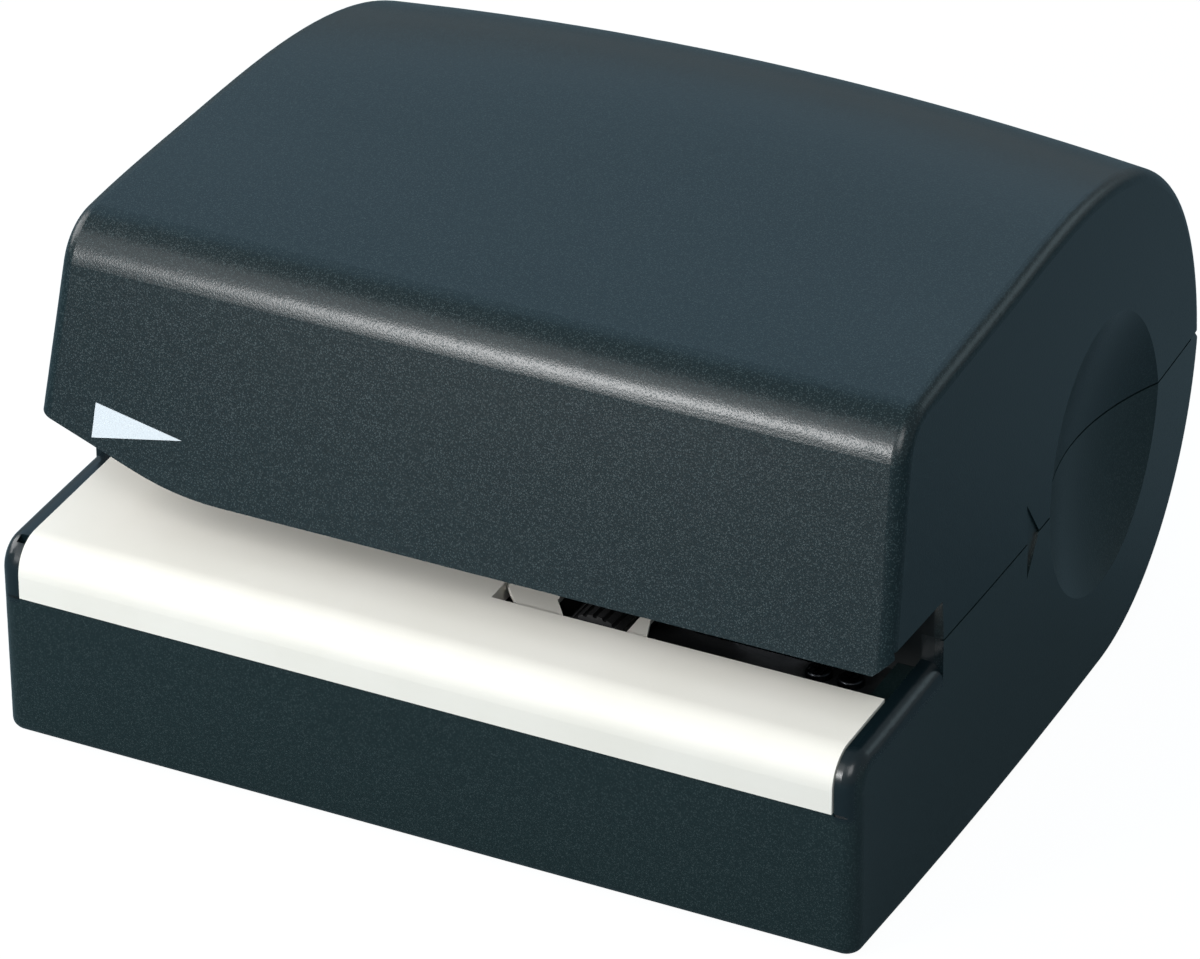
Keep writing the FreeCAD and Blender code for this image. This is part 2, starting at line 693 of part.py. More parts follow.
def shaft(axis, radius, y0, y1):
    rod = rod_y(axis[0], axis[1], radius, y0, y1)
    return rod.makeChamfer(0.25, rod.Edges)


def cutting_disc(axis, y0, y1, bevel_front):
    """Round blade with one bevelled face and a hub hole."""
    disc = rod_y(axis[0], axis[1], disc_radius, y0, y1)
    rim_y = y0 if bevel_front else y1
    rim = [e for e in disc.Edges if abs(e.BoundBox.Center.y - rim_y) < 0.01 and e.BoundBox.XLength > 20]
    disc = disc.makeChamfer((y1 - y0) * 0.7, rim)
    for n in range(3):
        turn = 2 * math.pi * n / 3 + 0.4
        hole = rod_y(axis[0] + 7 * math.cos(turn), axis[1] + 7 * math.sin(turn), 1.6, y0 - 1, y1 + 1)
        disc = disc.cut(hole)
    return disc.cut(rod_y(axis[0], axis[1], shaft_radius, y0 - 1, y1 + 1))


def feed_tyre(y0, y1):
    """Rubber tyre with ribs along its axis."""
    tyre = rod_y(feed_x, feed_z, tyre_radius, y0, y1)
    count = 24
    for n in range(count):
        turn = 2 * math.pi * n / count
        groove_x = feed_x + tyre_radius * math.cos(turn)
        groove_z = feed_z + tyre_radius * math.sin(turn)
        groove = rod_y(groove_x, groove_z, 0.45, y0 - 1, y1 + 1)
        tyre = tyre.cut(groove)
    return tyre.cut(rod_y(feed_x, feed_z, 4.0, y0 - 1, y1 + 1))


def feed_hub(y0, y1):
    hub = rod_y(feed_x, feed_z, 4.0, y0, y1)
    return hub.cut(rod_y(feed_x, feed_z, shaft_radius, y0 - 1, y1 + 1))


def hub_gear(axis, teeth, phase, y0, bore):
    """Spur gear with a thinner web between rim and hub."""
    wheel = gear(axis[0], axis[1], teeth, phase, y0, gear_width)
    rim = module * teeth / 2 - 2.2
    for a, b in ((y0 - 1, y0 + 1.0), (y0 + gear_width - 1.0, y0 + gear_width + 1)):
        ring = rod_y(axis[0], axis[1], rim, a, b).cut(rod_y(axis[0], axis[1], 3.2, a, b))
        wheel = wheel.cut(ring)
    return wheel.cut(rod_y(axis[0], axis[1], bore, y0 - 1, y0 + gear_width + 1))


def compound_gear(axis, large, large_phase, large_y, small, small_phase, small_y):
    """Two gears on one moulded sleeve with its own axle ends."""
    low, high = sorted((large_y, small_y))
    body = gear(axis[0], axis[1], large, large_phase, large_y, gear_width)
    rim = module * large / 2 - 2.2
    hollow = rod_y(axis[0], axis[1], rim, large_y + gear_width - 1.0, large_y + gear_width + 1)
    body = body.cut(hollow.cut(rod_y(axis[0], axis[1], 4.2, large_y, large_y + 9)))
    body = body.fuse(gear(axis[0], axis[1], small, small_phase, small_y, gear_width))
    sleeve = rod_y(axis[0], axis[1], 3.0, low, high + gear_width)
    axle = shaft(axis, shaft_radius, front_plate_y - 0.6, rear_face_y + 0.6)
    return body.fuse(sleeve).fuse(axle).removeSplitter()


# ---------------------------------------------------------------- motor

def motor_can():
    x, z = motor_axis
    y0 = rear_face_y
    can = rod_y(x, z, 12.0, y0, y0 + 28)
    can = can.common(box(x - 12, x + 12, y0 - 1, y0 + 30, z - 9, z + 9))
    can = can.makeFillet(0.8, [e for e in can.Edges if e.BoundBox.YMin > y0 + 27.9])
    cap = rod_y(x, z, 8.0, y0 + 28, y0 + 29.5)
    boss = rod_y(x, z, 3.0, y0 - plate_thickness, y0)
    tags = [box(x - 6.4, x - 5.6, y0 + 28, y0 + 33, z - 1.4, z + 1.4)]
    tags.append(box(x + 5.6, x + 6.4, y0 + 28, y0 + 33, z - 1.4, z + 1.4))
    body = can.multiFuse([cap, boss] + tags)
    return body.cut(rod_y(x, z, 1.0 + running_gap, y0 - 3, y0 + 26)).removeSplitter()


def motor_pinion():
    x, z = motor_axis
    pinion = gear(x, z, small_teeth, pinion_phase, plane_c, gear_width)
    spindle = rod_y(x, z, 1.0, plane_c - 0.8, rear_face_y + 25)
    return pinion.fuse(spindle).removeSplitter()


# ---------------------------------------------------------------- arm, lever, guides

def pressure_arm():
    y0, y1 = 20.8, 31.0
    pieces = []
    dx, dz = arm_x - feed_x, arm_z - idler_z
    length = math.hypot(dx, dz)
    nx, nz = -dz / length * 2.6, dx / length * 2.6
    at_pivot = [(arm_x + nx, arm_z + nz), (arm_x - nx, arm_z - nz)]
    web = [(feed_x + nx, idler_z + nz)] + at_pivot + [(feed_x - nx, idler_z - nz)]
    for a, b in ((y0, y0 + 1.4), (y1 - 1.4, y1)):
        pieces.append(prism_y(web, a, b))
        pieces.append(rod_y(feed_x, idler_z, 2.6, a, b))
    pieces.append(rod_y(arm_x, arm_z, 3.6, y0, y1))
    mid_x, mid_z = arm_x - dx * 0.38, arm_z - dz * 0.38
    bridge = [(mid_x + nx, mid_z + nz)] + at_pivot + [(mid_x - nx, mid_z - nz)]
    pieces.append(prism_y(bridge, y0, y1))
    tail_end = [(arm_x + 9, arm_z + 6.2), (arm_x + 9, arm_z + 4.4)]
    tail = [(arm_x + 1, arm_z + 3.2)] + tail_end + [(arm_x + 1, arm_z - 1)]
    pieces.append(prism_y(tail, 24.2, 27.8))
    arm = pieces[0].multiFuse(pieces[1:])
    arm = arm.cut(rod_y(arm_x, arm_z, shaft_radius + running_gap, y0 - 1, y1 + 1))
    return arm.cut(rod_y(feed_x, idler_z, 1.0, y0 - 1, y1 + 1)).removeSplitter()


def pressure_roller():
    roller = rod_y(feed_x, idler_z, idler_radius, 22.5, 29.3)
    rim = [e for e in roller.Edges if e.BoundBox.YLength < 0.01]
    roller = roller.makeFillet(0.6, rim)
    return roller.cut(rod_y(feed_x, idler_z, 1.0 + running_gap, 20, 32))


def arm_spring():
    """Close wound tension spring between the arm's tail and the guide's post."""
    turns_pitch = 1.35
    height = 8.1
    radius = 1.9
    x, y, z = arm_x + 7.6, 26.0, arm_z + 6.6
    helix = Part.makeHelix(turns_pitch, height, radius)
    circle = Part.Wire(Part.makeCircle(0.3, V(radius, 0, 0), V(0, 1, 0)))
    coil = Part.Wire(helix).makePipeShell([circle], True, True)
    coil.translate(V(x, y, z))
    return coil


def upper_paper_guide():
    """Black plate over the mouth, lifted at the left to let the envelope in."""
    low = 47.4
    thick = 1.6
    reach = half_width - 14.0
    bend = half_width - 32.0
    line = [(-reach, low + 5.0), (-bend, low), (reach, low), (reach, low + thick)]
    line += [(0.4 - bend, low + thick), (-reach, low + 5.0 + thick)]
    plate = prism_y(line, 16.8, front_plate_y)
    plate = plate.cut(box(feed_x - 9.2, feed_x + 10.6, 18.6, 33, 40, 60))
    plate = plate.cut(box(lower_x - 12.6, lower_x + 12.6, 30.2, 35.0, 40, 60))
    x0 = feed_x - 8.8
    y0 = front_plate_y - 1.6
    flange = box(x0, x0 + 20, y0, front_plate_y, low, low + 12)
    rib_line = [(18, low + thick), (34.4, low + 8), (34.4, low)]
    ribs = [prism_x(rib_line, x, x + 1.4) for x in (x0 - 4, reach - 1.4)]
    wall_bit = box(x0 - 6, x0 + 1, y0, front_plate_y, low, low + 9)
    end_bit = box(reach - 2.8, reach, y0, front_plate_y, low, low + 9)
    post_z = arm_z + 6.6 + 8.1 + 0.9
    post = box(arm_x + 5.6, arm_x + 9.6, 24, front_plate_y, post_z, post_z + 2)
    stem = box(arm_x + 5.6, arm_x + 9.6, y0, front_plate_y, 63.2, post_z + 2)
    hook = box(x0, arm_x + 9.6, y0, front_plate_y, 63.2, 66)
    side = box(x0, x0 + 5, y0, front_plate_y, low, 66)
    guide = plate.multiFuse([flange, wall_bit, end_bit, post, stem, hook, side] + ribs)
    guide = guide.cut(rod_y(feed_x, 56, 2.0, 30, 40))
    return guide.removeSplitter()


def blade_guard():
    """Black tray liner under the notch with a slot for the lower blade."""
    top = guard_top_z
    under = top - guard_thickness
    x0, x1 = feed_x + tyre_radius + 0.5, deck_half_width - ledge_width - 0.3
    plate = box(x0, x1, notch_y + 0.3, mouth_back_y - 0.2, under, top)
    slot_half = disc_radius + 0.9
    slot = box(lower_x - slot_half, lower_x + slot_half, lower_disc_y - 1.3, mouth_back_y + 1, 20, 60)
    plate = plate.cut(slot)
    skirt = box(x0, x1, notch_y + 0.3, notch_y + 1.7, 26, top)
    for x, y in guard_screw_places():
        plate = plate.cut(rod_z(x, y, screw_radius, 20, 60))
    end = box(x1 - 1.4, x1, notch_y + 0.3, mouth_back_y - 0.2, 30.5, under).cut(guard_bar(0.2))
    return plate.fuse(skirt).fuse(end).removeSplitter()


def guard_screw_places():
    return [(deck_half_width - 14.7, 25.2), (deck_half_width - 8.9, 25.2)]


def start_lever():
    """Ramp finger that the envelope's edge pushes down."""
    x, z = lever_x, lever_z
    points = [(x - 1, z + 2.4), (x - 6, z + 7.2), (x - 9.0, z + 10.6), (x - 10.2, z + 10.6)]
    points += [(x - 14.0, z + 6.4), (x - 13.4, z + 4.6), (x - 6, z + 1.4), (x - 1, z - 2.4)]
    finger = prism_y(points, 27.0, 29.0)
    hub = rod_y(x, z, 2.6, 25.2, 32.2)
    lever = finger.fuse(hub)
    return lever.cut(rod_y(x, z, pin_radius + running_gap, 20, 40)).removeSplitter()


def start_switch():
    """Small switch with three tags and a plunger under the lever's finger."""
    x0, z0 = switch_x, switch_z
    body = box(x0, x0 + 12.8, 25.0, 30.8, z0, z0 + 4.4)
    body = body.makeChamfer(0.3, [e for e in body.Edges if e.BoundBox.ZMin > z0 + 4.3])
    plunger = box(x0 + 7.2, x0 + 8.8, 27.2, 28.8, z0 + 4.4, z0 + 5.1)
    tags = [box(x0 + k, x0 + k + 0.5, 23.4, 25.0, z0 + 0.6, z0 + 2.6) for k in (1.5, 6.2, 10.9)]
    return body.multiFuse([plunger] + tags).removeSplitter()


# ---------------------------------------------------------------- underside pieces

def battery_door():
    x0, x1, y0, y1 = battery_space()
    gap = 0.2
    plate = box(x0 - 1.2 + gap, x1 + 1.2 - gap, y0 - 1.2 + gap, y1 + 1.2 - gap, 0, 1.9)
    latch = box(x1 + 1.0, x1 + 2.0 - gap, 35, 43, 0, 1.0)
    ribs = [box(x0 + 4, x1 - 4, y, y + 1.2, 1.9, 3.0) for y in (22.5, 37.5, 52.5)]
    door = plate.multiFuse([latch] + ribs)
    for n in range(5):
        groove = box(x1 - 10 + n * 1.8, x1 - 9.2 + n * 1.8, 33, 45, -1, 0.4)
        door = door.cut(groove)
    return door.removeSplitter()


def cell_rows():
    """Depth of each cell, its two ends along x and whether its nub is at the left."""
    x0, x1, y0, y1 = battery_space()
    rows = []
    for n in range(4):
        turned = n % 2 == 1
        low = x0 + cell_gap + (0 if turned else nub_length)
        high = low + nub_length + can_length
        rows.append((y0 + 8.0 + 15.0 * n, low, high, turned))
    return rows


def battery_cells():
    cells = []
    for y, low, high, turned in cell_rows():
        can_low = low + nub_length if turned else low
        can = rod_x(y, cell_z, 7.1, can_low, can_low + can_length)
        can = can.makeFillet(0.7, can.Edges[:1] + can.Edges[2:])
        nub_low = low if turned else high - nub_length
        nub = rod_x(y, cell_z, 2.7, nub_low, nub_low + nub_length)
        cells.append(can.fuse(nub).removeSplitter())
    return cells


def battery_contacts():
    """Plate and hollow pressed cone at both ends of every cell."""
    x0, x1, y0, y1 = battery_space()
    pieces = []
    for y, low, high, turned in cell_rows():
        for wall_x, end_x in ((x0, low), (x1, high)):
            sign = 1 if end_x > wall_x else -1
            near, far = sorted((wall_x, wall_x + sign * contact_thickness))
            plate = box(near, far, y - 5, y + 5, 4.4, 16.4)
            start = wall_x + sign * contact_thickness
            reach = abs(end_x - start)
            cone = Part.makeCone(3.6, 2.0, reach, V(start, y, cell_z), V(sign, 0, 0))
            bore = Part.makeCone(3.0, 1.4, reach, V(start, y, cell_z), V(sign, 0, 0))
            pieces.append(plate.fuse(cone.cut(bore)))
    return pieces


def waste_tray():
    x0, x1, y0, y1 = tray_space()
    gap = 0.3
    outer = box(x0 + gap, x1 - gap, y0 + gap, y1 - gap, 0, 23.4)
    corners = [e for e in outer.Edges if e.BoundBox.ZLength > 20]
    outer = outer.makeFillet(tray_round - gap, corners)
    inner = box(x0 + 1.7, x1 - 1.7, y0 + 1.7, y1 - 1.7, 1.8, 30)
    inner = inner.makeFillet(1.2, [e for e in inner.Edges if e.BoundBox.ZLength > 20])
    tray = outer.cut(inner)
    grip = rod_x(y0 + 4.5, -2.0, 3.2, x0 + 10, x1 - 10)
    tray = tray.cut(grip)
    return tray.removeSplitter()


# ---------------------------------------------------------------- build every piece

keep("lower_case", lower_case())
keep("feed_table", feed_table())
keep("top_cover", top_cover())
keep("direction_arrow", direction_arrow())
pins = [rod_x(hinge_y, seam_z, pin_radius, cover_knuckle[0] - 0.5, case_knuckle[1])]
keep("hinge_pins", both_sides(pins[0]))

feet = []
for fx, fy in foot_places():
    foot = rod_z(fx, fy, foot_radius, -foot_height, 0.6)
    feet.append(foot.makeFillet(0.5, [e for e in foot.Edges if e.BoundBox.ZMax < -1]))
keep("rubber_feet", feet)

shaft_axes = (feed_axis, lower_axis, upper_axis, second_axis, first_axis)
bearings = [(axis, shaft_radius + running_gap) for axis in shaft_axes]
arm_hole = [((arm_x, arm_z), shaft_radius)]
guide_hole = [((feed_x, 56.0), screw_radius)]
keep("chassis_front_plate", chassis_plate(front_plate_y, bearings + arm_hole + guide_hole, 44.0))
motor_holes = [(motor_axis, 3.0)]
for side in (-1, 1):
    hole_x = motor_axis[0] + 8.0 * side * math.cos(0.6)
    hole_z = motor_axis[1] + 8.0 * side * math.sin(0.6)
    motor_holes.append(((hole_x, hole_z), 1.3))
keep("chassis_rear_plate", chassis_plate(rear_plate_y, bearings + motor_holes, 60.0))
posts = [rod_y(x, z, 2.5, front_plate_y + plate_thickness, rear_plate_y) for x, z in post_places()]
keep("chassis_posts", posts)
keep("chassis_screws", [pan_head_z(x, y, boss_top + plate_thickness, 4.6) for x, y in boss_places()])

keep("motor_can", motor_can())
keep("motor_pinion", motor_pinion())
keep("first_reduction_gear", compound_gear(first_axis, first_teeth, first_phase, plane_c,
                                           small_teeth, small_phase, plane_b))
keep("second_reduction_gear", compound_gear(second_axis, second_teeth, second_phase, plane_b,
                                            drive_teeth, drive_phase, plane_a))
keep("feed_gear", hub_gear(feed_axis, feed_teeth, feed_phase, plane_a, shaft_radius))
keep("lower_blade_gear", hub_gear(lower_axis, blade_teeth, lower_phase, plane_a, shaft_radius))
keep("upper_blade_gear", hub_gear(upper_axis, blade_teeth, upper_phase, plane_a, shaft_radius))

lower_disc_back = lower_disc_y + disc_thickness
upper_disc_front = lower_disc_back + 0.05
upper_disc_back = upper_disc_front + 1.0
keep("lower_cutting_disc", cutting_disc(lower_axis, lower_disc_y, lower_disc_back, True))
keep("upper_cutting_disc", cutting_disc(upper_axis, upper_disc_front, upper_disc_back, False))
lower_shaft = shaft(lower_axis, shaft_radius, lower_disc_y - 1.0, rear_face_y + 0.8)
collar = rod_y(lower_x, lower_z, 3.6, lower_disc_back, lower_disc_back + 2.5)
lower_nut = rod_y(lower_x, lower_z, 3.6, lower_disc_y - 0.9, lower_disc_y)
keep("lower_blade_shaft", lower_shaft.fuse(collar).fuse(lower_nut))
upper_shaft = shaft(upper_axis, shaft_radius, upper_disc_front - 0.9, rear_face_y + 0.8)
upper_shaft = upper_shaft.fuse(rod_y(lower_x, upper_z, 3.6, upper_disc_back, upper_disc_back + 2.5))
upper_nut = rod_y(lower_x, upper_z, 2.8, upper_disc_front - 0.8, upper_disc_front)
keep("upper_blade_shaft", upper_shaft.fuse(upper_nut))

tyre_y0, tyre_y1 = notch_y + 0.6, 30.2
keep("feed_roller_tyre", feed_tyre(tyre_y0, tyre_y1))
keep("feed_roller_hub", feed_hub(tyre_y0 - 0.4, tyre_y1 + 0.8))
keep("feed_roller_shaft", shaft(feed_axis, shaft_radius, tyre_y0 - 0.4, rear_face_y + 0.8))
keep("pressure_arm", pressure_arm())
keep("pressure_roller", pressure_roller())
keep("pressure_roller_axle", rod_y(feed_x, idler_z, 1.0, 20.4, 31.4))
keep("arm_pivot_pin", rod_y(arm_x, arm_z, shaft_radius, 20.0, front_plate_y + plate_thickness))
keep("arm_spring", arm_spring())
keep("upper_paper_guide", upper_paper_guide())
keep("blade_guard", blade_guard())
keep("guard_screws", [pan_head_z(x, y, guard_top_z, 4.0) for x, y in guard_screw_places()])
keep("start_lever", start_lever())
keep("lever_pin", rod_y(lever_x, lever_z, pin_radius, 24.6, mouth_back_y + 2))
keep("start_switch", start_switch())
keep("battery_door", battery_door())
keep("battery_cells", battery_cells())
keep("battery_contacts", battery_contacts())
keep("waste_tray", waste_tray())
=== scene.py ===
import bpy
import json
import math
from mathutils import Matrix, Vector

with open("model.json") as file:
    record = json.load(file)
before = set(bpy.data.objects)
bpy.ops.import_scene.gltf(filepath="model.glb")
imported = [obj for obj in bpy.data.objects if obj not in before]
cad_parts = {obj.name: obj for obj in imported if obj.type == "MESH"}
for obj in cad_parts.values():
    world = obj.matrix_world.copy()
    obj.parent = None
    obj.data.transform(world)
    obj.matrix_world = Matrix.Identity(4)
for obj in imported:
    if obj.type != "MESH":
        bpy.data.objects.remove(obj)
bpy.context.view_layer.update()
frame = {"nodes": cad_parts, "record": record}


# ------------------------------------------------------------------ shader arithmetic

class Link:
    """An output on its way to a socket. Arithmetic on it adds Math nodes to the same finish."""

    def __init__(self, finish, socket):
        self.finish = finish
        self.socket = socket

    def _math(self, operation, first, second=0.0):
        return self.finish.node("ShaderNodeMath", {"operation": operation}, {0: first, 1: second}).get(0)

    def __add__(self, other):
        return self._math("ADD", self, other)

    def __radd__(self, other):
        return self._math("ADD", other, self)

    def __sub__(self, other):
        return self._math("SUBTRACT", self, other)

    def __rsub__(self, other):
        return self._math("SUBTRACT", other, self)

    def __mul__(self, other):
        return self._math("MULTIPLY", self, other)

    def __rmul__(self, other):
        return self._math("MULTIPLY", other, self)

    def __abs__(self):
        return self._math("ABSOLUTE", self)

    def most(self, other):
        return self._math("MAXIMUM", self, other)


class Made:
    """A node just added, with its outputs as links."""

    def __init__(self, finish, node):
        self.finish = finish
        self.node = node

    def get(self, key=0):
        return Link(self.finish, self.node.outputs[key])


class Finish:
    """The nodes of one material or of the room, all added through node()."""

    def __init__(self, owner):
        owner.use_nodes = True
        self.owner = owner
        self.tree = owner.node_tree
        self.tree.nodes.clear()
        self._place = None

    def node(self, kind, settings=None, sockets=None):
        """Add a node of that kind: its settings first, then the values or links of its sockets."""
        made = self.tree.nodes.new(kind)
        for key, value in (settings or {}).items():
            setattr(made, key, value)
        for key, value in (sockets or {}).items():
            if isinstance(value, Link):
                self.tree.links.new(value.socket, made.inputs[key])
            else:
                made.inputs[key].default_value = value
        return Made(self, made)

    def place(self):
        """Object coordinates, in metres."""
        if self._place is None:
            self._place = self.node("ShaderNodeTexCoord").get("Object")
        return self._place

    def axes(self):
        """x, y and z of the surface point, in millimetres."""
        split = self.node("ShaderNodeSeparateXYZ", {}, {0: self.place()})
        return [split.get(k) * 1000.0 for k in (0, 1, 2)]

    def noise(self, scale, detail=2.0, roughness=0.5, stretch=(1.0, 1.0, 1.0)):
        """Smooth noise from 0 to 1, with scale in waves per millimetre."""
        spot = self.node("ShaderNodeMapping", {}, {"Vector": self.place(), "Scale": stretch}).get(0)
        return self.node("ShaderNodeTexNoise", {}, {"Vector": spot, "Scale": scale * 1000.0, "Detail": detail,
                                                    "Roughness": roughness}).get(0)

    def cells(self, scale):
        """Distance to the nearest scattered point, with scale in points per millimetre."""
        return self.node("ShaderNodeTexVoronoi", {}, {"Vector": self.place(),
                                                      "Scale": scale * 1000.0}).get("Distance")

    def ease(self, value, low, high, start=0.0, end=1.0):
        """Smooth step of value from start at low to end at high."""
        return self.node("ShaderNodeMapRange", {"interpolation_type": "SMOOTHSTEP"},
                         {0: value, 1: low, 2: high, 3: start, 4: end}).get(0)

    def mix(self, share, first, second):
        """Colour between first and second."""
        sockets = {0: share}
        for slot, colour in ((6, first), (7, second)):
            sockets[slot] = colour if isinstance(colour, Link) else (*colour, 1.0)
        return self.node("ShaderNodeMix", {"data_type": "RGBA"}, sockets).get(2)

    def bump(self, height, depth_mm):
        """Normal from a height of 0 to 1 that stands for depth_mm."""
        return self.node("ShaderNodeBump", {}, {"Height": height, "Distance": depth_mm / 1000.0,
                                                "Strength": 1.0}).get(0)

    def shade(self, **values):
        """Principled shader from named inputs; ends the material."""
        names = {"colour": "Base Color", "rough": "Roughness", "metal": "Metallic", "normal": "Normal",
                 "specular": "Specular IOR Level"}
        sockets = {names[key]: value for key, value in values.items()}
        shader = self.node("ShaderNodeBsdfPrincipled", {}, sockets)
        self.node("ShaderNodeOutputMaterial", {}, {0: shader.get(0)})
        return self.owner


def new_finish(name, tint):
    """Empty finish of a new material; tint is its flat colour in the working view."""
    material = bpy.data.materials.new(name)
    material.diffuse_color = (*tint, 1.0)
    return Finish(material)


# ------------------------------------------------------------------ finishes

GRAIN_DEPTH = 0.008
GRAIN_GLOSS = 0.5

# places on the object, in millimetres; the cells' two reaches are counted from their middle
MOUTH_BACK_Y = -43.5
MOUTH_TOP_Z = 61.0
MOUTH_END_X = 77.9
RAIL_INNER_X = 75.7
RAIL_OUTER_X = 78.8
RAIL_FOOT_Z = 26.5
RAIL_RIDGE_Z = 35.0
CELLS_MIDDLE_X = -36.4
SHOULDER_REACH = 14.6
SLEEVE_REACH = 23.3


def spark_grain(f, dark, pale, painted_glint):
    """Colour, roughness and height of a fine spark eroded grain with small pale glints.

    The glints are painted highlights: pale round spots in the colour about scattered points, stronger where a
    smooth noise is high. The flat faces at the back of the mouth, which stand at MOUTH_BACK_Y below the
    cover, are painted dark as shade and left matt.
    """
    fine = f.noise(1.6, 3.0, 0.6)
    dots = f.cells(3.0)
    # spots of the grain; in the colour below they become painted glints
    spark = f.ease(dots, 0.22, 0.46, 1.0, 0.0) * f.ease(fine, 0.35, 0.6, 0.4, 1.0)
    cloud = f.noise(0.02, 3.0)
    colour = f.mix(f.ease(fine, 0.35, 0.65), dark, pale)
    colour = f.mix(f.ease(cloud, 0.3, 0.7) * 0.3, colour, dark)
    # painted highlight: the pale glint colour is mixed in at the spots
    colour = f.mix(spark * 0.8, colour, painted_glint)
    rough = f.ease(spark, 0.0, 1.0, 0.285, 0.42)
    x, y, z = f.axes()
    # painted shade: the flat faces at the back of the mouth are painted near black, where shade falls
    mouth = f.ease(abs(y - MOUTH_BACK_Y), 0.05, 0.2, 1.0, 0.0)
    mouth = mouth * f.ease(z, MOUTH_TOP_Z, MOUTH_TOP_Z + 1.0, 1.0, 0.0)
    mouth = mouth * f.ease(abs(x), MOUTH_END_X, MOUTH_END_X + 0.5, 1.0, 0.0)
    colour = f.mix(mouth, colour, (0.001, 0.003, 0.004))
    rough = rough * (1.0 - mouth) + mouth * 0.75
    return colour, rough, f.ease(dots, 0.1, 0.8, 1.0, 0.0) * (1.0 - mouth)


def grained_cover_plastic():
    """Blue black moulded skin of the hinged cover, with painted pale glints."""
    f = new_finish("grained_cover_plastic", (0.045, 0.05, 0.056))
    # the last colour is the painted glint colour, pale spots standing in for light sparkling on the grain
    colour, rough, grain = spark_grain(f, (0.002, 0.009, 0.011), (0.003, 0.012, 0.015), (0.030, 0.050, 0.054))
    return f.shade(colour=colour, rough=rough, normal=f.bump(grain, GRAIN_DEPTH), specular=GRAIN_GLOSS)


def grained_case_plastic():
    """Same grain and painted glints on the lower case, turning smooth and glossier on the rails beside the
    deck.
    """
    f = new_finish("grained_case_plastic", (0.03, 0.035, 0.036))
    x, y, z = f.axes()
    rail = f.ease(abs(x), RAIL_INNER_X, RAIL_INNER_X + 0.5) * f.ease(z, RAIL_FOOT_Z, RAIL_FOOT_Z + 1.5)
    rail = rail * f.ease(y, MOUTH_BACK_Y - 0.1, MOUTH_BACK_Y + 0.3, 1.0, 0.0)
    flank = f.ease(abs(x), RAIL_OUTER_X, RAIL_OUTER_X + 0.9, 1.0, 0.0)
    rail = rail * flank.most(f.ease(z, RAIL_RIDGE_Z, RAIL_RIDGE_Z + 2.4))
    # the last colour is the painted glint colour, pale spots standing in for light sparkling on the grain
    colour, rough, grain = spark_grain(f, (0.005, 0.013, 0.014), (0.007, 0.017, 0.018), (0.030, 0.046, 0.048))
    colour = f.mix(rail, colour, (0.004, 0.010, 0.013))
    rough = rough * (1.0 - rail) + rail * 0.25
    grain = grain * (1.0 - rail)
    return f.shade(colour=colour, rough=rough, normal=f.bump(grain, GRAIN_DEPTH), specular=GRAIN_GLOSS)


def cream_plastic():
    """Off white satin plastic with a faint mottling and hardly any grain."""
    f = new_finish("cream_plastic", (0.82, 0.82, 0.79))
    cloud = f.noise(0.05, 4.0)
    fine = f.noise(3.0, 2.0)
    colour = f.mix(f.ease(cloud, 0.3, 0.7), (0.83, 0.80, 0.735), (0.80, 0.77, 0.70))
    rough = f.ease(fine, 0.3, 0.7, 0.44, 0.54)
    return f.shade(colour=colour, rough=rough, normal=f.bump(fine, 0.012), specular=0.3)


def printed_white():
    """Matt white pad print with pinholes."""
    f = new_finish("printed_white", (0.85, 0.85, 0.83))
    fine = f.noise(3.5, 3.0)
    colour = f.mix(f.ease(fine, 0.62, 0.8), (0.62, 0.67, 0.71), (0.50, 0.54, 0.57))
    return f.shade(colour=colour, rough=f.ease(fine, 0.2, 0.8, 0.5, 0.7), normal=f.bump(fine, 0.02))


def black_nylon():
    """Moulded black nylon with a satin skin and faint flow marks."""
    f = new_finish("black_nylon", (0.02, 0.02, 0.021))
    flow = f.noise(0.12, 4.0, 0.6, (1.0, 3.0, 3.0))
    fine = f.noise(2.0, 2.0)
    colour = f.mix(f.ease(flow, 0.3, 0.7), (0.010, 0.011, 0.012), (0.020, 0.021, 0.022))
    return f.shade(colour=colour, rough=f.ease(fine, 0.25, 0.75, 0.3, 0.44), normal=f.bump(fine, 0.015))


def white_nylon():
    """Natural acetal of the gears, slightly creamy, with a greasy sheen."""
    f = new_finish("white_nylon", (0.8, 0.79, 0.74))
    cloud = f.noise(0.25, 3.0)
    fine = f.noise(2.2, 2.0)
    colour = f.mix(f.ease(cloud, 0.3, 0.75), (0.80, 0.78, 0.72), (0.70, 0.68, 0.61))
    return f.shade(colour=colour, rough=f.ease(cloud, 0.3, 0.7, 0.28, 0.45), normal=f.bump(fine, 0.01))


def ribbed_rubber():
    """Black rubber with dust in its pores."""
    f = new_finish("ribbed_rubber", (0.02, 0.02, 0.02))
    fine = f.noise(1.6, 4.0, 0.65)
    dust = f.ease(f.noise(0.5, 4.0), 0.52, 0.75)
    colour = f.mix(dust * 0.4, (0.008, 0.008, 0.009), (0.028, 0.027, 0.026))
    return f.shade(colour=colour, rough=f.ease(fine, 0.2, 0.8, 0.62, 0.82), normal=f.bump(fine, 0.04))


def zinc_steel():
    """Zinc plated sheet and pins, with faint drawing lines."""
    f = new_finish("zinc_steel", (0.6, 0.6, 0.6))
    lines = f.noise(0.8, 3.0, 0.6, (0.15, 1.0, 2.5))
    cloud = f.noise(0.15, 3.0)
    colour = f.mix(f.ease(cloud, 0.3, 0.7), (0.60, 0.61, 0.62), (0.50, 0.505, 0.51))
    return f.shade(colour=colour, rough=f.ease(lines, 0.25, 0.75, 0.26, 0.42), metal=1.0,
                   normal=f.bump(lines, 0.008))


